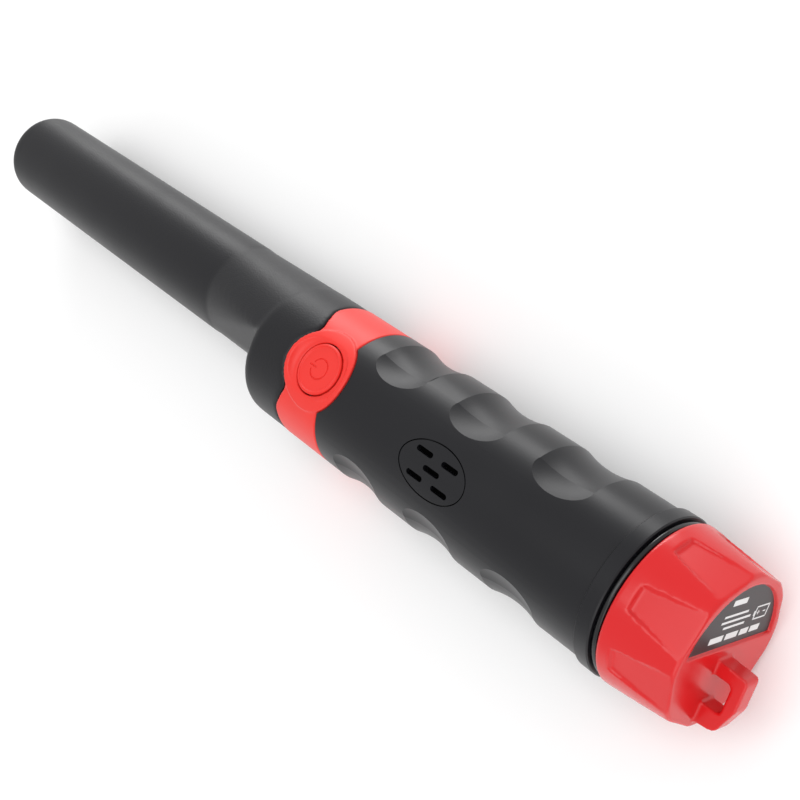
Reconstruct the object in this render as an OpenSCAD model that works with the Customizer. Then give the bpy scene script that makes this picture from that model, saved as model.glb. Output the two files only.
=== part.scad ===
// Pinpointer probe: a hand-held metal detecting wand with a slim sensing tube, a grip that holds
// the battery and a screw cap with a lanyard loop. Millimetres. +X points to the tip, +Z to the button.

/* [Grip] */
// Outer radius of the grip
grip_r = 19.3; // [18.8:0.1:24]
// Wall of the grip and the front housing
grip_wall = 3; // [2.6:0.1:3.2]
// Length of the grip from the collar to the red band
grip_len = 89.2; // [80:0.1:120]
// Distance from one finger scallop to the next
scallop_pitch = 26.8; // [20:0.1:28]
// Width of a finger scallop along the grip
scallop_w = 16; // [8:0.5:18]
// Depth of a finger scallop
scallop_depth = 1.2; // [0.4:0.1:1.6]
// Half of the smooth strip along the speaker side, as an angle
strip_deg = 25; // [15:1:35]
// Turn of the grip's speaker and scallops round the axis, from the button
grip_turn = -13; // [-20:1:20]

/* [Band and button] */
// Width of the seat that the rubber band lies in
band_w = 17.5; // [17:0.1:24]
// Thickness of the rubber band
band_t = 1.7; // [1.2:0.1:2]
// Radius of the round surround of the button
surround_r = 10.9; // [9.5:0.1:11.5]
// Radius of the button face
button_r = 6.8; // [5.5:0.1:7.2]
// Travel of the button
button_travel = 0.5; // [0.3:0.1:0.6]

/* [Speaker] */
// Length of the oval speaker insert
grille_len = 21; // [17:0.5:24]
// Width of the oval speaker insert
grille_w = 12.8; // [11:0.1:14]
// Distance from the front of the collar to the middle of the speaker
grille_at = 49; // [46:0.5:54]

/* [Probe] */
// Outer radius of the sensing tube
tube_r = 14.2; // [12.5:0.1:17]
// Wall of the sensing tube
tube_wall = 1.8; // [1.2:0.1:2.4]
// Length of the sensing tube ahead of the shoulder
tube_len = 154; // [130:1:200]
// Direction in which the tube lies off the grip's axis, from the button
tube_turn = 107; // [60:1:120]
// Length of the front housing between the band and the shoulder
housing_len = 15.3; // [14:0.1:22]
// Length over which the housing runs out into the tube
fairing_len = 32; // [24:1:50]
// Rounding of the tip
tip_round = 3; // [1:0.5:5]

/* [Battery] */
// Length of the battery
battery_len = 48.5; // [40:0.5:50]
// Width of the battery
battery_w = 26.5; // [22:0.5:27]
// Thickness of the battery
battery_t = 17.5; // [15:0.5:18]
// Rounding of the battery's long edges
battery_round = 2.5; // [1:0.5:4]

/* [Cap] */
// Radius of the cap's front edge
cap_r = 20; // [19.5:0.1:24]
// Radius of the cap's rear rim
cap_end_r = 18.6; // [18.2:0.1:20]
// Length of the cap
cap_len = 18; // [17:0.5:24]
// Number of thumb recesses round the cap
recess_count = 8; // [6:1:10]
// Depth of a thumb recess
recess_depth = 1; // [0.4:0.1:1.2]
// Pitch of the cap's screw thread
thread_pitch = 3; // [2.4:0.1:4]
// Angle of the lanyard loop round the axis, from the button
loop_deg = -114; // [-150:1:-60]
// Thickness of the lanyard loop
loop_t = 5; // [3:0.1:7]
// Height of the lanyard loop behind the cap
loop_h = 7.5; // [7.4:0.1:10]

/* [Electronics] */
// Length of the circuit board
board_len = 76; // [70:1:76]
// Width of the circuit board
board_w = 24; // [20:0.5:24]
// Length of the ferrite rod
ferrite_len = 76; // [40:1:80]

/* [Hidden] */
$fn = 72;

// clearances
move_gap = 0.3;    // between pieces that move past each other
seat_gap = 0.02;   // between pieces that are fixed to each other
seam_gap = 0.3;    // visible line between a piece and its recess

// stations along the axis, from the cap's front edge towards the tip
collar_at = 2;
collar_front = 6;
seat_rear = collar_front + grip_len;
seat_front = seat_rear + band_w;
shoulder_at = seat_front + housing_len;
tip_at = shoulder_at + tube_len;
button_at = seat_rear + 6.1;
grille_mid = collar_front + grille_at;

// radii
bore_r = grip_r - grip_wall;
collar_r = max(grip_r + 0.8, cap_r + 0.1);
seat_r = grip_r - band_t;
housing_r = grip_r - 0.1;
tube_shift = housing_r - tube_r;
tube_bore = tube_r - tube_wall;
tube_up = tube_shift * cos(tube_turn);
tube_across = tube_shift * sin(tube_turn);
fairing_end = shoulder_at + fairing_len;
skin = 0.06;
tube_step = 0.2;

// battery compartment and the neck that the cap screws on
battery_half = norm([battery_w / 2 - battery_round, battery_t / 2 - battery_round]) + battery_round;
well_r = battery_half + 0.37;
neck_r = well_r + 1.05;
thread_h = 0.5;
thread_gap = 0.15;
cap_bore = neck_r + thread_h + thread_gap;
cap_floor = 2.4;
recess_at = 3.6;
label_r = 16;
label_chord = 1.4;
label_depth = 0.9;
label_t = 0.25;
pad_t = 2.7;
cap_inside = -cap_len + cap_floor;
battery_rear = cap_inside + pad_t + 2 * move_gap;
neck_rear = battery_rear - 0.4;
terminal_h = 2.6;
connector_t = 3;
battery_front = battery_rear + battery_len;
connector_at = battery_front + terminal_h;
well_front = connector_at + connector_t + 0.2;
bulkhead_t = 2;
thread_turns = 2;
thread_steps = 40;
thread_rear = neck_rear + 0.9;

// speaker, seal and spigot
grille_floor = seat_r - 0.6;
buzzer_r = 6;
buzzer_top = bore_r - 1.4;
spigot_r = bore_r - 0.1;
spigot_bore = spigot_r - 1.6;
spigot_len = 4.2;
seal_r = 0.55;

// electronics
board_rear = well_front + bulkhead_t + 2;
board_front = board_rear + board_len;
board_t = 1.6;
board_top = 7;
board_under = board_top - board_t;
chassis_top = board_under - 1.8;
chassis_under = chassis_top - 1.6;
chassis_front = seat_front - 1;
screw_spots = [for (s = [board_rear + 3.2, chassis_front - 3], y = [-9, 9]) [y, s]];
screw_r = 1;
switch_h = 3.6;
stem_r = 1.7;
plunger_low = board_top + switch_h + 1.4;
flange_top = bore_r - 2.3;
face_top = seat_r + 0.7;
moat_r = 2.2;

// vibration motor
motor_x = -5;
motor_r = 4;
motor_at = board_rear + 16;
motor_len = 12;
shaft_r = 0.5;
boot_r = 5.5;

// light in the shoulder
lamp_y = -12.8;
lamp_x = -2.3;
lamp_r = 2.5;
lens_r = 3;
housing_front = shoulder_at - 4;

// sensing coils
ferrite_r = 4.9;
ferrite_front = tip_at - 3 - 6;
ferrite_rear = ferrite_front - ferrite_len;
former_r = 7;
former_rear = ferrite_rear + 4;
former_front = ferrite_front - 4;
former_mid = former_rear + (former_front - former_rear) * 0.35;
flange_r = 9.2;
flange_t = 2;
coil_r = 8.4;

// the whole body is shifted so that the origin is at the middle of its underside
loop_rear = -cap_len - loop_h;
middle = (tip_at + loop_rear) / 2;

black = [0.1, 0.1, 0.11];
red = [0.86, 0.09, 0.08];
warm_red = [0.92, 0.17, 0.14];
copper = [0.72, 0.43, 0.22];
green = [0.05, 0.3, 0.15];
steel = [0.7, 0.7, 0.72];
gold = [0.83, 0.69, 0.35];

// puts a piece that is drawn round the Z axis, button along +X, into the part's own frame
module placed() {
    translate([-middle, 0, collar_r]) rotate([0, 90, 0]) rotate([0, 0, 180]) children();
}

// moves a piece from the grip's axis to the tube's axis
module in_tube() {
    translate([tube_up, tube_across, 0]) children();
}

// a straight round bar from station a to station b
module bar(r, a, b) {
    translate([0, 0, a]) cylinder(r = r, h = b - a);
}

// a ring from station a to station b
module ring(outer, inner, a, b) {
    difference() {
        bar(outer, a, b);
        bar(inner, a - 1, b + 1);
    }
}

// a flat outline, drawn as [along the axis, across], pushed out radially on the button side
module outwards(low, high) {
    translate([low, 0, 0]) rotate([0, 90, 0]) linear_extrude(high - low) mirror([1, 0, 0]) children();
}

// an upright round bar on the button side, at a station
module post(r, low, high, station, y = 0) {
    translate([low, y, station]) rotate([0, 90, 0]) cylinder(r = r, h = high - low);
}

// an oval outline, long along the axis
module oval(long, wide) {
    steps = 60;
    polygon([for (i = [0:steps - 1]) [long / 2 * cos(360 * i / steps), wide / 2 * sin(360 * i / steps)]]);
}

// a box between two corners, given as [up, across, station]
module block(low, high) {
    translate(low) cube(high - low);
}

// a thin wire through a list of points
module wire(points, r) {
    for (i = [0:len(points) - 2])
        hull() {
            translate(points[i]) sphere(r = r, $fn = 10);
            translate(points[i + 1]) sphere(r = r, $fn = 10);
        }
}

// a helical ridge: root and crest radii, starting at a station
module helix_ridge(root, crest, start) {
    count = thread_turns * thread_steps;
    out = crest > root;
    fade = [for (i = [0:count]) min(1, (i + 0.5) / 5, (count - i + 0.5) / 5)];
    points = [for (i = [0:count])
        let (a = 360 * i / thread_steps, z = start + thread_pitch * i / thread_steps,
            top = root + (crest - root) * (0.4 + 0.6 * fade[i]))
        for (p = [[root, -0.85], [top, -0.25], [top, 0.25], [root, 0.85]])
            [p[0] * cos(a), p[0] * sin(a), z + p[1]]];
    sides = [for (i = [0:count - 1], k = [0:3])
        let (n = (k + 1) % 4, a = 4 * i + k, b = 4 * i + n)
        each [[a, b, b + 4], [a, b + 4, a + 4]]];
    last = 4 * count;
    ends = [[0, 3, 2], [0, 2, 1], [last, last + 1, last + 2], [last, last + 2, last + 3]];
    faces = concat(sides, ends);
    polyhedron(points, out ? faces : [for (f = faces) [f[2], f[1], f[0]]]);
}

// one finger scallop on the side of the grip at a given angle, as the solid to cut away
module scallop(side_deg, station) {
    minor = (pow(scallop_w / 2, 2) + pow(scallop_depth, 2)) / (2 * scallop_depth);
    reach = grip_r - scallop_depth + minor;
    end_deg = 90 - strip_deg - asin(scallop_w / 2 / grip_r);
    translate([0, 0, station]) rotate([0, 0, side_deg]) {
        rotate([0, 0, -end_deg]) rotate_extrude(angle = 2 * end_deg) translate([reach, 0]) circle(r = minor);
        for (a = [-end_deg, end_deg]) rotate([0, 0, a]) translate([reach, 0, 0]) sphere(r = minor + 0.04);
    }
}

// the outline in front of the band that leaves its narrow necks beside the button
module neck_notch(gap) {
    low = seat_front - 3.5 + gap;
    polygon([[seat_front + 1, -17 + gap], [low, -9.5 + gap], [low, 9.5 - gap], [seat_front + 1, 17 - gap]]);
}

module probe_shell() {
    color(black) placed() {
        difference() {
            union() {
                rotate_extrude() {
                    translate([0, seat_front]) square([housing_r, housing_len - 2.5]);
                    translate([0, seat_front]) square([housing_r - 2.5, housing_len]);
                    translate([housing_r - 2.5, shoulder_at - 2.5]) circle(r = 2.5);
                }
                rotate([0, 0, tube_turn]) hull() {
                    intersection() {
                        bar(housing_r - skin, shoulder_at - 3.5, shoulder_at - 3.4, $fn = 96);
                        block([-6, -30, shoulder_at - 5], [30, 30, shoulder_at]);
                    }
                    translate([tube_shift, 0, 0]) bar(tube_r - tube_step, shoulder_at - 3.5, fairing_end, $fn = 96);
                }
                in_tube() rotate_extrude() {
                    translate([0, fairing_end - 0.4]) square([tube_r, tip_at - tip_round - fairing_end + 0.4]);
                    translate([0, fairing_end - 0.4]) square([tube_r - tip_round, tip_at - fairing_end + 0.4]);
                    translate([tube_r - tip_round, tip_at - tip_round]) circle(r = tip_round);
                }
                ring(spigot_r, spigot_bore, seat_front - spigot_len, seat_front + 1);
                difference() {
                    intersection() {
                        ring(housing_r, seat_r + seat_gap, seat_front - 4, seat_front + 1);
                        outwards(0, grip_r + 5) neck_notch(seam_gap);
                    }
                    post(surround_r + seam_gap, 0, grip_r + 5, button_at);
                }
            }
            bar(spigot_bore, seat_front - 1, seat_front + 2);
            bar(bore_r, seat_front + 1, housing_front);
            in_tube() bar(tube_bore, housing_front - 1, tip_at - 3);
            translate([lamp_x, lamp_y, 0]) bar(lens_r + seat_gap, housing_front - 1, shoulder_at + 1);
            translate([0, 0, seat_front - spigot_len / 2]) rotate_extrude()
                translate([bore_r - 2 * seal_r, -seal_r]) square([2 * seal_r, 2 * seal_r]);
        }
    }
}

module grip_shell() {
    color(black) placed() {
        difference() {
            rotate_extrude() polygon([
                [well_r, neck_rear], [neck_r, neck_rear], [neck_r, move_gap], [seat_r, move_gap],
                [seat_r, collar_at], [seat_r + 0.4, collar_at], [seat_r + 0.4, collar_front],
                [grip_r, collar_front], [grip_r, seat_rear], [seat_r, seat_rear], [seat_r, seat_front],
                [bore_r, seat_front], [bore_r, well_front], [well_r, well_front]]);
            for (i = [0:2], side = [-90, 90])
                scallop(grip_turn + side, collar_front + 21.2 + i * scallop_pitch);
            difference() {
                post(surround_r + seam_gap, 0, grip_r + 5, button_at);
                bar(seat_r, button_at - 20, button_at + 20);
            }
            post(button_r + 0.4, 0, grip_r, button_at);
            rotate([0, 0, grip_turn]) {
                outwards(grille_floor, grip_r + 1)
                    translate([grille_mid, 0]) oval(grille_len + 2 * seam_gap, grille_w + 2 * seam_gap);
                post(5, 0, grip_r, grille_mid);
            }
        }
        helix_ridge(neck_r - 0.3, neck_r + thread_h, thread_rear);
    }
}

module rubber_band() {
    color(warm_red) placed() difference() {
        union() {
            difference() {
                ring(grip_r, seat_r + seat_gap, seat_rear + seam_gap, seat_front - seam_gap);
                outwards(0, grip_r + 5) neck_notch(0);
            }
            intersection() {
                ring(grip_r + 0.5, seat_r + seat_gap, button_at - 12, button_at + 12);
                post(surround_r, 0, grip_r + 5, button_at);
            }
        }
        post(button_r + move_gap, 0, grip_r + 5, button_at);
        translate([seat_r + 0.6 + moat_r, 0, button_at]) rotate([0, 90, 0]) rotate_extrude()
            translate([button_r + 0.8, 0]) circle(r = moat_r);
    }
}

module power_mark() {
    difference() {
        circle(r = 2.9);
        circle(r = 2.5);
        translate([0, -0.8]) square([4, 1.6]);
    }
    translate([1.1, -0.2]) square([2.6, 0.4]);
}

module button_cap() {
    color(warm_red) placed() {
        difference() {
            union() {
                post(button_r, flange_top + 1.3, face_top, button_at);
                translate([face_top, 0, button_at]) rotate([0, 90, 0]) rotate_extrude()
                    translate([button_r - 0.5, 0]) circle(r = 0.35);
            }
            outwards(face_top - 0.35, face_top + 1) translate([button_at, 0]) power_mark();
        }
    }
}

module button_plunger() {
    color([0.85, 0.85, 0.83]) placed() {
        post(3, plunger_low, flange_top + 1.3 - seat_gap, button_at);
        post(button_r + 0.9, flange_top - 1.2, flange_top, button_at);
    }
}

module speaker_grille() {
    slot_spots = [[0, 0], [4.2, 3.1], [4.2, -3.1], [-4.2, 3.1], [-4.2, -3.1]];
    color(black) placed() rotate([0, 0, grip_turn]) difference() {
        intersection() {
            outwards(grille_floor + 0.4, grip_r + 1) translate([grille_mid, 0]) oval(grille_len, grille_w);
            bar(grip_r - 0.05, grille_mid - grille_len, grille_mid + grille_len);
        }
        outwards(0, grip_r + 5) for (p = slot_spots) translate([grille_mid + p[0], p[1]]) {
            square([3.9, 1.4], center = true);
            for (e = [-1.95, 1.95]) translate([e, 0]) circle(r = 0.7);
        }
    }
}

module speaker_membrane() {
    color([0.2, 0.2, 0.21]) placed() rotate([0, 0, grip_turn])
        outwards(grille_floor + seat_gap, grille_floor + 0.35) translate([grille_mid, 0]) oval(grille_len - 2, grille_w - 1.6);
}

module collar_ring() {
    color(black) placed() rotate_extrude() polygon([
        [seat_r + 0.4 + seat_gap, collar_at], [collar_r - 0.3, collar_at], [collar_r, collar_at + 0.3],
        [collar_r, collar_front - 0.3], [collar_r - 0.3, collar_front],
        [seat_r + 0.4 + seat_gap, collar_front]]);
}

module neck_seal() {
    color([0.03, 0.03, 0.03]) placed() translate([0, 0, (move_gap + collar_at) / 2]) rotate_extrude()
        translate([seat_r + 0.87, 0]) circle(r = (collar_at - move_gap) / 2);
}

// the outline of the lanyard loop, as [station, distance from the axis]
module loop_outline() {
    foot = -cap_len + 1;
    hull() {
        translate([foot, 1.2]) square([0.5, 15.3]);
        translate([loop_rear + 1.3, 2.9]) circle(r = 1.3);
        translate([loop_rear + 2, 8.8]) circle(r = 2);
        translate([loop_rear + 3.9, 13.9]) circle(r = 2);
        translate([foot - 1, 14.5]) circle(r = 2);
    }
}

module loop_hole() {
    top = -cap_len;
    back = loop_rear + 2.9;
    hull() {
        for (u = [5.4, 10.8]) translate([back + 0.8, u]) circle(r = 0.8);
        translate([top - 0.1, 4.6]) square([0.1, 7]);
    }
}

module battery_cap() {
    color(red) placed() {
        difference() {
            rotate_extrude() polygon([
                [0, -cap_len], [cap_end_r - 0.6, -cap_len], [cap_end_r, -cap_len + 0.6],
                [cap_r, -0.5], [cap_r - 0.4, 0], [cap_bore, 0], [cap_bore, cap_inside], [0, cap_inside]]);
            for (k = [0:recess_count - 1]) rotate([0, 0, loop_deg + (k + 0.5) * 360 / recess_count])
                recess_cut();
            translate([0, 0, -cap_len - 1]) linear_extrude(1 + label_depth)
                rotate([0, 0, loop_deg]) label_outline(label_r);
        }
        difference() {
            rotate([0, 0, loop_deg]) translate([0, loop_t / 2, 0]) rotate([90, 0, 0]) linear_extrude(loop_t)
                mirror([1, -1, 0]) difference() {
                    loop_outline();
                    loop_hole();
                }
            bar(cap_bore, cap_inside, 0);
        }
        helix_ridge(cap_bore + 0.3, neck_r + thread_gap, thread_rear + thread_pitch * 1.5);
    }
}

// a thumb recess with a flat floor that widens towards the rear, as the solid to cut away
module recess_cut() {
    front_x = cap_r - recess_depth - 0.2;
    rear_x = cap_end_r - recess_depth + 0.1;
    run = cap_len - recess_at;
    lean = atan2(front_x - rear_x, run);
    front_half = cap_r * sin(8.5);
    rear_half = cap_end_r * sin(16.5);
    // the outline lies in the floor plane, with its first axis running to the rear
    multmatrix([[-sin(lean), 0, cos(lean), front_x], [0, 1, 0, 0],
        [-cos(lean), 0, -sin(lean), -recess_at], [0, 0, 0, 1]])
        linear_extrude(8) polygon([[0, -front_half], [0, front_half],
            [run + 3, rear_half + 0.8], [run + 3, -rear_half - 0.8]]);
}

// the round half of the end face, away from the loop
module label_outline(r) {
    difference() {
        circle(r = r);
        translate([-label_chord - (label_r - r), -20]) square([40, 40]);
    }
}

module cap_label() {
    color([0.07, 0.07, 0.08]) placed() translate([0, 0, -cap_len + label_depth - label_t])
        linear_extrude(label_t - seat_gap) rotate([0, 0, loop_deg]) label_outline(label_r - 0.2);
}

module pressure_pad() {
    color([0.15, 0.15, 0.16]) placed()
        bar(12, cap_inside + move_gap, cap_inside + move_gap + pad_t);
}

module shell_seal() {
    color([0.03, 0.03, 0.03]) placed() translate([0, 0, seat_front - spigot_len / 2]) rotate_extrude()
        translate([bore_r - seal_r, 0]) circle(r = seal_r - seat_gap);
}

module led_lens() {
    color([0.9, 0.95, 1, 0.5]) placed() translate([lamp_x, lamp_y, 0]) {
        bar(lens_r, housing_front, shoulder_at + 0.3);
    }
}

module led_lamp() {
    color([0.95, 0.95, 0.98]) placed() translate([lamp_x, lamp_y, 0]) {
        bar(lamp_r, housing_front - 8, housing_front - 2.6);
        translate([0, 0, housing_front - 2.7]) sphere(r = lamp_r - 0.02);
        bar(lamp_r + 0.4, housing_front - 8, housing_front - 7);
    }
}

module led_leads() {
    start = housing_front - 8.5;
    color(steel) placed() for (dy = [-0.9, 0.9])
        wire([[lamp_x, lamp_y + dy, start], [board_under - 2, lamp_y + 2 + dy, start - 0.3],
            [board_under - 0.5, lamp_y + 3 + dy, start - 0.4]], 0.35);
}

module chassis() {
    color([0.78, 0.78, 0.76]) placed() difference() {
        union() {
            block([chassis_under, -board_w / 2 - 0.5, board_rear], [chassis_top, board_w / 2 + 0.5, chassis_front]);
            for (p = screw_spots) post(2.2, chassis_top - 0.1, board_under, p[1], p[0]);
            for (s = [board_rear, button_at - 2]) intersection() {
                bar(bore_r - seat_gap, s, s + 1.6);
                block([-30, -30, s - 1], [chassis_top, 30, s + 3]);
            }
            block([motor_x + 3, -boot_r - 1, motor_at + 2], [chassis_top, boot_r + 1, motor_at + 9]);
        }
        for (p = screw_spots) post(screw_r + 0.05, -20, 20, p[1], p[0]);
        translate([motor_x, 0, 0]) bar(boot_r + seat_gap, motor_at + 1, motor_at + 10);
        post(2.5, -20, 20, motor_at - 6);
    }
}

module circuit_board() {
    color(green) placed() difference() {
        block([board_under, -board_w / 2, board_rear + 0.5], [board_top, board_w / 2, board_front]);
        for (p = screw_spots) post(screw_r + 0.05, 0, 20, p[1], p[0]);
    }
}

module board_screws() {
    color(steel) placed() for (p = screw_spots) difference() {
        union() {
            post(screw_r, chassis_under + 0.2, board_top + 0.1, p[1], p[0]);
            post(1.9, board_top + seat_gap, board_top + 1.2, p[1], p[0]);
        }
        for (a = [0, 90]) translate([board_top + 1.2, p[0], p[1]]) rotate([a, 0, 0])
            cube([1, 0.4, 2.4], center = true);
    }
}

module processor_chip() {
    at = motor_at + 20;
    color([0.12, 0.12, 0.13]) placed() {
        block([board_top + 0.2, -3.5, at], [board_top + 1.6, 3.5, at + 7]);
        for (side = [-1, 1], i = [0:5])
            block([board_top + seat_gap, side * 4 - 0.6, at + 0.8 + i], [board_top + 0.6, side * 4 + 0.6, at + 1.2 + i]);
    }
}

module capacitors() {
    color([0.2, 0.22, 0.3]) placed() for (y = [-8, 8])
        post(2.5, board_top + seat_gap, board_top + 5.5, motor_at + 8, y);
}

module voltage_regulator() {
    color([0.1, 0.1, 0.1]) placed() {
        block([board_top + 0.1, -3, board_front - 9], [board_top + 2.3, 3, board_front - 4]);
        block([board_top + seat_gap, -3.6, board_front - 8], [board_top + 0.5, 3.6, board_front - 7.4]);
    }
}

module switch_case() {
    color([0.15, 0.15, 0.16]) placed() difference() {
        block([board_top + seat_gap, -3, button_at - 3], [board_top + switch_h, 3, button_at + 3]);
        post(stem_r + move_gap, board_top + switch_h - 1.4, board_top + 10, button_at);
    }
}

module switch_stem() {
    color([0.9, 0.9, 0.88]) placed()
        post(stem_r, board_top + switch_h - 0.6, plunger_low - seat_gap, button_at);
}

module buzzer_case() {
    color([0.13, 0.13, 0.14]) placed() rotate([0, 0, grip_turn]) difference() {
        post(buzzer_r, buzzer_top - 5.9, buzzer_top, grille_mid);
        post(buzzer_r - 0.8, buzzer_top - 5, buzzer_top - 1, grille_mid);
        post(1, buzzer_top - 2, buzzer_top + 1, grille_mid);
    }
}

module buzzer_disc() {
    color(gold) placed() rotate([0, 0, grip_turn])
        post(buzzer_r - 0.8 - seat_gap, buzzer_top - 2.2, buzzer_top - 1.9, grille_mid);
}

module motor_case() {
    color(steel) placed() translate([motor_x, 0, 0]) difference() {
        union() {
            bar(motor_r, motor_at, motor_at + motor_len);
            bar(1.5, motor_at, motor_at + motor_len + 1);
        }
        bar(shaft_r + 0.05, motor_at + motor_len - 4, motor_at + motor_len + 2);
    }
}

module motor_boot() {
    color([0.18, 0.18, 0.18]) placed() translate([motor_x, 0, 0])
        ring(boot_r, motor_r + seat_gap, motor_at + 1.5, motor_at + 9.5);
}

module motor_shaft() {
    color(steel) placed() translate([motor_x, 0, 0])
        bar(shaft_r, motor_at + motor_len - 3.7, motor_at + motor_len + 6);
}

module eccentric_weight() {
    start = motor_at + motor_len + 2;
    color(gold) placed() translate([motor_x, 0, 0]) difference() {
        union() {
            intersection() {
                bar(4.6, start, start + 4);
                block([-6, -6, start], [0.4, 6, start + 4]);
            }
            bar(1.4, start, start + 4);
        }
        bar(shaft_r + 0.01, start - 1, start + 5);
    }
}

module motor_leads() {
    color([0.15, 0.25, 0.7]) placed() for (y = [-1.2, 1.2])
        wire([[motor_x, y, motor_at - 0.6], [motor_x + 1, y, motor_at - 5], [chassis_under - 1, y, motor_at - 6],
            [board_under - 0.5, y, motor_at - 6]], 0.45);
}

module bulkhead() {
    color([0.16, 0.16, 0.17]) placed() difference() {
        bar(bore_r - seat_gap, well_front + seat_gap, well_front + bulkhead_t);
        translate([10, 0, 0]) bar(3, well_front - 1, well_front + bulkhead_t + 1);
    }
}

module battery() {
    color([0.2, 0.25, 0.35]) placed() intersection() {
        block([-battery_t / 2, -battery_w / 2, battery_rear], [battery_t / 2, battery_w / 2, battery_front]);
        linear_extrude(200, center = true) {
            square([battery_t - 2 * battery_round, battery_w + 2], center = true);
            square([battery_t + 2, battery_w - 2 * battery_round], center = true);
            for (x = [-1, 1], y = [-1, 1])
                translate([x * (battery_t / 2 - battery_round), y * (battery_w / 2 - battery_round)])
                    circle(r = battery_round);
        }
    }
}

module battery_terminals() {
    color(steel) placed() {
        translate([0, -6.35, 0]) ring(2.9, 1.8, battery_front + seat_gap, connector_at - seat_gap);
        translate([0, 6.35, 0]) ring(4.2, 3.2, battery_front + seat_gap, connector_at - seat_gap);
    }
}

module snap_connector() {
    color([0.1, 0.1, 0.1]) placed() {
        block([-6.5, -12, connector_at], [6.5, 12, connector_at + connector_t]);
        translate([0, 6.35, 0]) bar(3.1, connector_at - 2, connector_at + 1);
        translate([0, -6.35, 0]) bar(1.75, connector_at - 2, connector_at + 1);
    }
}

module battery_leads() {
    color([0.7, 0.1, 0.1]) placed() for (y = [-1.5, 1.5])
        wire([[7.2, y, connector_at + 1.5], [10, y, connector_at + 2.4], [10, y, board_rear + 0.8],
            [board_top + 0.7, y, board_rear + 2.6]], 0.6);
}

module ferrite_rod() {
    color([0.25, 0.25, 0.27]) placed() in_tube()
        bar(ferrite_r, ferrite_rear, ferrite_front);
}

module coil_former() {
    color([0.88, 0.87, 0.8]) placed() in_tube() difference() {
        union() {
            bar(former_r, former_rear, former_front);
            for (s = [former_rear, former_mid, former_front - flange_t]) bar(flange_r, s, s + flange_t);
        }
        bar(ferrite_r + seat_gap, former_rear - 1, former_front + 1);
    }
}

module receive_coil() {
    color(copper) placed() in_tube()
        ring(coil_r, former_r + seat_gap, former_rear + flange_t + seat_gap, former_mid - seat_gap);
}

module transmit_coil() {
    color(copper) placed() in_tube()
        ring(coil_r, former_r + seat_gap, former_mid + flange_t + seat_gap, former_front - flange_t - seat_gap);
}

module centering_rings() {
    color([0.35, 0.35, 0.36]) placed() in_tube()
        for (s = [former_rear, former_front - flange_t])
            ring(tube_bore - seat_gap, flange_r + seat_gap, s, s + flange_t);
}

module coil_leads() {
    start = board_front - 3.5;
    high = tube_up + 8;
    color([0.6, 0.5, 0.15]) placed() for (y = [tube_across - 2, tube_across + 2])
        wire([[board_top + 0.7, y - 1, start], [board_top + 1, y, start + 10],
            [high + 0.3, y, shoulder_at + 30], [high, y, former_rear - 0.6]], 0.5);
}

probe_shell();
grip_shell();
rubber_band();
button_cap();
button_plunger();
speaker_grille();
speaker_membrane();
collar_ring();
neck_seal();
battery_cap();
cap_label();
pressure_pad();
shell_seal();
led_lens();
led_lamp();
led_leads();
chassis();
circuit_board();
board_screws();
processor_chip();
capacitors();
voltage_regulator();
switch_case();
switch_stem();
buzzer_case();
buzzer_disc();
motor_case();
motor_boot();
motor_shaft();
eccentric_weight();
motor_leads();
bulkhead();
battery();
battery_terminals();
snap_connector();
battery_leads();
ferrite_rod();
coil_former();
transmit_coil();
receive_coil();
centering_rings();
coil_leads();
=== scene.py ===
import math
import bpy
from mathutils import Matrix, Vector


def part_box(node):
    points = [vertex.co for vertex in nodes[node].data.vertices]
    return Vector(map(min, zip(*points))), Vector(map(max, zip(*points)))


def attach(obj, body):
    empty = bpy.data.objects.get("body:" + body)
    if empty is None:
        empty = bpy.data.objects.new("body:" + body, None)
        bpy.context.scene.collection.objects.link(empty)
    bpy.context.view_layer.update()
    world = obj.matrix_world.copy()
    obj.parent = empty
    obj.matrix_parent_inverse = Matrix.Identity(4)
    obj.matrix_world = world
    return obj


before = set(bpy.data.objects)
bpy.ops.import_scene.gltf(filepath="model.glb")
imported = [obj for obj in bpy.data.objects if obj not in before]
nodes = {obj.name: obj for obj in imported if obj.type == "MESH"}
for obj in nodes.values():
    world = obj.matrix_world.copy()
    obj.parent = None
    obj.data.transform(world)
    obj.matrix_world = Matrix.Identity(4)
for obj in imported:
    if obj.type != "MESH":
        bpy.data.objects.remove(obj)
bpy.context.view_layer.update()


# ---- Stage -------------------------------------------------------------------------------------
# A pale seamless table under plain soft studio light. One soft box hangs overhead, a low one stands
# at the front right and draws the long highlight down the barrel, a third one lights the cap's end.
TABLE_SIZE = 8
# each soft box is (name, place, width, height, power); all of them face the probe
SOFT_BOXES = (
    ("overhead", (-0.35, 0.1, 1.5), 1.3, 1.3, 10),
    ("front_right", (0.8, -1.15, 0.22), 1.0, 0.45, 8),
    ("rear_left", (-1.1, 0.75, 0.6), 0.8, 0.8, 3),
)
SURROUNDING_LIGHT = 0.75


def deselect():
    bpy.ops.object.select_all(action="DESELECT")
    bpy.context.view_layer.objects.active = None


deselect()
bpy.ops.mesh.primitive_plane_add(size=TABLE_SIZE)
table = bpy.context.active_object
table.name = "table"
table_finish = bpy.data.materials.new("pale_table")
table_finish.use_nodes = True
table_shader = table_finish.node_tree.nodes["Principled BSDF"]
table_shader.inputs["Base Color"].default_value = (0.95, 0.95, 0.95, 1)
table_shader.inputs["Roughness"].default_value = 0.9
table_shader.inputs["Specular IOR Level"].default_value = 0.1
table.data.materials.append(table_finish)

for name, place, wide, tall, power in SOFT_BOXES:
    lamp = bpy.data.lights.new(name, "AREA")
    lamp.shape = "RECTANGLE"
    lamp.size, lamp.size_y = wide, tall
    lamp.energy = power
    holder = bpy.data.objects.new(name, lamp)
    bpy.context.scene.collection.objects.link(holder)
    holder.location = place
    holder.rotation_euler = (-Vector(place)).to_track_quat("-Z", "Y").to_euler()

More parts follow.
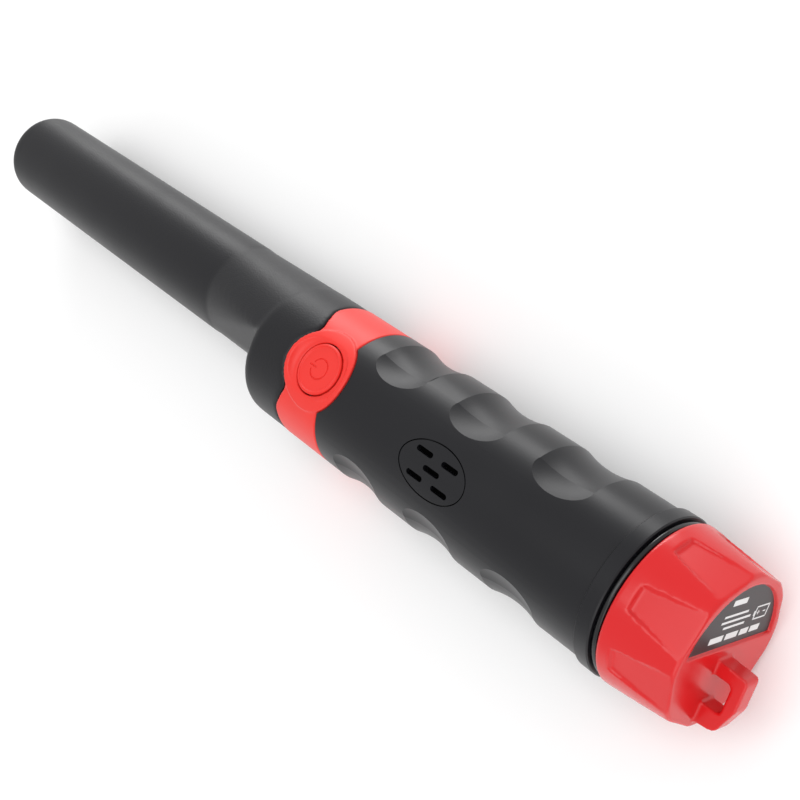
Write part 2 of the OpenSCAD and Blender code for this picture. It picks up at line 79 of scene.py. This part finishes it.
world = bpy.data.worlds.new("studio")
bpy.context.scene.world = world
world.use_nodes = True
backdrop = world.node_tree.nodes["Background"]
backdrop.inputs["Color"].default_value = (1, 1, 1, 1)
backdrop.inputs["Strength"].default_value = SURROUNDING_LIGHT
bpy.context.scene.view_settings.view_transform = "Standard"


# ---- Camera ------------------------------------------------------------------------------------
# The camera stands behind the cap, above the grip. It looks down towards the tip and is rolled so
# that the probe lies diagonally across the picture.
CAMERA_PLACE = Vector((-0.241033, -0.01529, 0.275253))
LOOK = Vector((0.627888, 0.021305, -0.778012))
UPWARDS = Vector((0.436239, -0.837478, 0.329130))
lens = bpy.data.cameras.new("camera")
lens.lens = 57.24
lens.shift_x = 0.0035
lens.shift_y = -0.0255
lens.clip_start = 0.01
camera = bpy.data.objects.new("camera", lens)
bpy.context.scene.collection.objects.link(camera)
turn = Matrix((LOOK.cross(UPWARDS), UPWARDS, -LOOK)).transposed().to_4x4()
camera.matrix_world = Matrix.Translation(CAMERA_PLACE) @ turn
bpy.context.scene.camera = camera


# ---- Probe shell -------------------------------------------------------------------------------
# The sensing tube, its shoulder and the front housing are one black moulding with a fine matt
# grain. It plugs into the grip's front and is held by the seal and the rubber band.
MM = 0.001
CLOUD_SCALE = 60
CLOUD_DETAIL = 5
GRAIN_DETAIL = 2


def grain_group():
    """A moulded surface: fine grain for the bump, cloudy variation for the shine and the tone."""
    group = bpy.data.node_groups.new("moulded_surface", "ShaderNodeTree")
    face = group.interface
    face.new_socket("Vector", in_out="INPUT", socket_type="NodeSocketVector")
    for label, value in (("Grain Size", 0.4), ("Roughness", 0.4), ("Variation", 0.05)):
        face.new_socket(label, in_out="INPUT", socket_type="NodeSocketFloat").default_value = value
    face.new_socket("Color", in_out="INPUT", socket_type="NodeSocketColor")
    face.new_socket("Height", in_out="OUTPUT", socket_type="NodeSocketFloat")
    face.new_socket("Roughness", in_out="OUTPUT", socket_type="NodeSocketFloat")
    face.new_socket("Color", in_out="OUTPUT", socket_type="NodeSocketColor")
    add, join = group.nodes.new, group.links.new
    start, end = add("NodeGroupInput"), add("NodeGroupOutput")

    # the grain's size is in millimetres, and the texture's scale is in repeats to the metre
    scale = add("ShaderNodeMath")
    scale.operation = "DIVIDE"
    scale.inputs[0].default_value = 1 / MM
    join(start.outputs["Grain Size"], scale.inputs[1])
    grain = add("ShaderNodeTexNoise")
    grain.inputs["Detail"].default_value = GRAIN_DETAIL
    join(start.outputs["Vector"], grain.inputs["Vector"])
    join(scale.outputs[0], grain.inputs["Scale"])
    join(grain.outputs["Fac"], end.inputs["Height"])

    # a broad cloud, centred on zero, drives the shine and the tone together
    cloud = add("ShaderNodeTexNoise")
    cloud.inputs["Scale"].default_value = CLOUD_SCALE
    cloud.inputs["Detail"].default_value = CLOUD_DETAIL
    join(start.outputs["Vector"], cloud.inputs["Vector"])
    centred = add("ShaderNodeMath")
    centred.operation = "SUBTRACT"
    centred.inputs[1].default_value = 0.5
    join(cloud.outputs["Fac"], centred.inputs[0])
    shine = add("ShaderNodeMath")
    shine.operation = "MULTIPLY_ADD"
    join(centred.outputs[0], shine.inputs[0])
    join(start.outputs["Variation"], shine.inputs[1])
    join(start.outputs["Roughness"], shine.inputs[2])
    join(shine.outputs[0], end.inputs["Roughness"])
    tone = add("ShaderNodeMath")
    tone.operation = "MULTIPLY_ADD"
    join(centred.outputs[0], tone.inputs[0])
    join(start.outputs["Variation"], tone.inputs[1])
    tone.inputs[2].default_value = 1
    tint = add("ShaderNodeVectorMath")
    tint.operation = "SCALE"
    join(start.outputs["Color"], tint.inputs[0])
    join(tone.outputs[0], tint.inputs["Scale"])
    join(tint.outputs[0], end.inputs["Color"])
    return group


moulded_surface = grain_group()


def moulding(name, colour, roughness, grain=0.4, depth=0.02, variation=0.12, **constants):
    """A moulded plastic, rubber or metal finish; grain and depth are in millimetres."""
    finish = bpy.data.materials.new(name)
    finish.use_nodes = True
    tree = finish.node_tree
    shader = tree.nodes["Principled BSDF"]
    place = tree.nodes.new("ShaderNodeTexCoord")
    surface = tree.nodes.new("ShaderNodeGroup")
    surface.node_tree = moulded_surface
    tree.links.new(place.outputs["Object"], surface.inputs["Vector"])
    surface.inputs["Grain Size"].default_value = grain
    surface.inputs["Roughness"].default_value = roughness
    surface.inputs["Variation"].default_value = variation
    surface.inputs["Color"].default_value = (*colour, 1)
    tree.links.new(surface.outputs["Color"], shader.inputs["Base Color"])
    tree.links.new(surface.outputs["Roughness"], shader.inputs["Roughness"])
    bump = tree.nodes.new("ShaderNodeBump")
    bump.inputs["Distance"].default_value = depth * MM
    tree.links.new(surface.outputs["Height"], bump.inputs["Height"])
    tree.links.new(bump.outputs["Normal"], shader.inputs["Normal"])
    for socket, value in constants.items():
        shader.inputs[socket.replace("_", " ")].default_value = value
    return finish


def dress(piece, finish):
    """Gives a piece one finish all over."""
    if not piece.material_slots:
        piece.data.materials.append(finish)
    for place in piece.material_slots:
        place.material = finish


def soften(node, cell, passes):
    """Rounds every edge of a moulded node; cell is the size of the new mesh in millimetres."""
    skin = nodes[node].modifiers.new("even_mesh", "REMESH")
    skin.mode = "VOXEL"
    skin.voxel_size = cell * MM
    skin.use_smooth_shade = True
    ease = nodes[node].modifiers.new("rounded_edges", "SMOOTH")
    ease.iterations = passes
    ease.factor = 0.5


grained_black = moulding(
    "grained_black", (0.007, 0.007, 0.009), 0.42, grain=0.5, depth=0.05, Specular_IOR_Level=0.32)
dress(nodes["probe_shell"], grained_black)
soften("probe_shell", 0.7, 8)


# ---- Grip shell --------------------------------------------------------------------------------
# The grip is a smooth satin black moulding with six finger scallops. It holds the battery and the
# circuit board, and its threaded neck carries the cap. The collar is pressed on behind it.
satin_black = moulding(
    "satin_black", (0.007, 0.007, 0.009), 0.36, grain=0.5, depth=0.006, Specular_IOR_Level=0.32)
for name in ("grip_shell", "collar_ring"):
    dress(nodes[name], satin_black)


# ---- Neck seal ---------------------------------------------------------------------------------
# A glossy black rubber ring lies in front of the cap's edge and keeps water out of the battery
# space. It is stretched over the neck, against the collar.
seal_rubber = moulding("seal_rubber", (0.004, 0.004, 0.005), 0.2, grain=0.5, depth=0.002)
dress(nodes["neck_seal"], seal_rubber)


# ---- Speaker -----------------------------------------------------------------------------------
# An oval insert with five slots is clipped into the grip. Behind the slots lies acoustic cloth,
# which is glued to the insert;
# it is given a near-black finish with no shine, as painted shade that darkens the slots.
dress(nodes["speaker_grille"], satin_black)
# painted shade: the cloth is blacker than the black plastic and has no specular shine, so the slots
# look like shaded hollows
slot_shade_cloth = moulding(
    "acoustic_cloth_painted_shade", (0.002, 0.002, 0.002), 0.95, grain=0.3, depth=0.05, Specular_IOR_Level=0)
dress(nodes["speaker_membrane"], slot_shade_cloth)


# ---- Red rubber band and button ----------------------------------------------------------------
# A stretched band of soft red rubber covers the joint between the two shells and widens into a
# raised round surround. The button is moulded in the same rubber and has an engraved power mark.
warm_red = moulding(
    "warm_red", (0.78, 0.028, 0.02), 0.42, grain=0.3, depth=0.012, variation=0.08,
    Specular_IOR_Level=0.4)
dress(nodes["rubber_band"], warm_red)
dress(nodes["button_cap"], warm_red)
soften("rubber_band", 0.28, 3)
soften("button_cap", 0.1, 1)


# ---- Battery cap -------------------------------------------------------------------------------
# The cap is one glossy red moulding with eight thumb recesses and the lanyard loop. It screws on
# the neck by a coarse thread. Its end has a shallow pocket for the label.
cap_red = moulding(
    "cap_red", (0.62, 0.008, 0.01), 0.24, grain=0.8, depth=0.004, variation=0.06,
    Specular_IOR_Level=0.45)
dress(nodes["battery_cap"], cap_red)
soften("battery_cap", 0.33, 3)


# ---- Label -------------------------------------------------------------------------------------
# A printed film with a self-adhesive back lies in the pocket of the cap. The print is only generic
# marks: plain bars, and the outline of a battery with its two poles.
LOOP_TURN = math.radians(-114)
INK = 0.04
label_low, label_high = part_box("cap_label")
collar_low, collar_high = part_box("collar_ring")
label_face = label_low[0] / MM
axis_up = (collar_low[2] + collar_high[2]) / 2 / MM
# each mark is (away from the loop, across, height, width) in millimetres
TITLE_BARS = ((3.9, -8.6, 1.5, 3.6), (3.9, -4.4, 1.5, 3.2), (3.9, 0.4, 1.5, 4.6), (3.9, 6.2, 1.5, 5))
LINE_BARS = ((6.4, 1.2, 0.55, 8), (7.8, 1.2, 0.55, 11), (9.2, 1.8, 0.55, 9), (12.3, 2.4, 1.4, 5.2))
BATTERY_OUTLINE = (
    (6.4, -8.6, 0.35, 5), (9.4, -8.6, 0.35, 5), (7.9, -11, 3, 0.35), (7.9, -6.2, 3, 0.35),
    (7.9, -5.8, 1.2, 0.5))
POLE_MARKS = ((7.9, -7.3, 0.3, 1), (7.9, -7.3, 1, 0.3), (7.9, -9.7, 0.3, 1))

ink = moulding("white_ink", (0.75, 0.75, 0.75), 0.5, grain=0.4, depth=0.003, variation=0.05)
film = moulding("label_film", (0.014, 0.014, 0.016), 0.38, grain=0.3, depth=0.002)
dress(nodes["cap_label"], film)
deselect()
marks = []
for away, across, height, width in TITLE_BARS + LINE_BARS + BATTERY_OUTLINE + POLE_MARKS:
    up = -away * math.cos(LOOP_TURN) - across * math.sin(LOOP_TURN)
    side = -away * math.sin(LOOP_TURN) + across * math.cos(LOOP_TURN)
    bpy.ops.mesh.primitive_cube_add(
        size=1, location=((label_face - INK / 2) * MM, -side * MM, (axis_up + up) * MM),
        rotation=(LOOP_TURN, 0, 0), scale=(INK * MM, width * MM, height * MM))
    marks.append(bpy.context.active_object)
for mark in marks:
    mark.select_set(True)
bpy.context.view_layer.objects.active = marks[0]
bpy.ops.object.join()
bpy.ops.object.transform_apply(location=True, rotation=True, scale=True)
print_marks = bpy.context.active_object
print_marks.name = "label_print"
dress(print_marks, ink)
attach(print_marks, "cap")


# ---- Light -------------------------------------------------------------------------------------
# A clear moulded lens is pressed into the shoulder in front of a small lamp with a clear dome.
clear_lens = moulding(
    "clear_lens", (0.8, 0.82, 0.85), 0.08, grain=0.5, depth=0.001, variation=0.02,
    Transmission_Weight=0.85, IOR=1.49)
dress(nodes["led_lens"], clear_lens)
dress(nodes["led_lamp"], clear_lens)


# ---- Inner parts -------------------------------------------------------------------------------
# The parts inside are seen only when the shells are taken off. Each is given the finish of its
# material: moulded plastic, rubber, foam, metal, wire or the printed circuit.
# each finish is (colour, roughness, metallic, the nodes that are made of it)
INNER = {
    "white_plastic": ((0.72, 0.71, 0.66), 0.4, 0, (
        "button_plunger", "chassis", "switch_stem", "coil_former")),
    "black_rubber": ((0.01, 0.01, 0.011), 0.6, 0, ("shell_seal", "motor_boot")),
    "dark_foam": ((0.03, 0.03, 0.032), 0.9, 0, ("pressure_pad", "centering_rings")),
    "board_green": ((0.01, 0.11, 0.035), 0.35, 0, ("circuit_board",)),
    "chip_black": ((0.015, 0.015, 0.017), 0.45, 0, (
        "processor_chip", "capacitors", "voltage_regulator", "switch_case", "buzzer_case",
        "bulkhead", "snap_connector")),
    "steel": ((0.6, 0.6, 0.62), 0.3, 1, (
        "led_leads", "board_screws", "motor_case", "motor_shaft", "battery_terminals")),
    "brass": ((0.7, 0.48, 0.2), 0.3, 1, ("buzzer_disc", "eccentric_weight")),
    "battery_jacket": ((0.12, 0.13, 0.15), 0.35, 0, ("battery",)),
    "ferrite": ((0.035, 0.035, 0.038), 0.5, 0, ("ferrite_rod",)),
    "copper_wire": ((0.75, 0.32, 0.14), 0.3, 1, ("transmit_coil", "receive_coil", "coil_leads")),
    "wire_red": ((0.6, 0.02, 0.02), 0.4, 0, ("battery_leads",)),
    "wire_blue": ((0.03, 0.08, 0.5), 0.4, 0, ("motor_leads",)),
}
for name, (colour, roughness, metal, members) in INNER.items():
    finish = moulding(name, colour, roughness, grain=0.4, depth=0.01, Metallic=metal)
    for member in members:
        dress(nodes[member], finish)
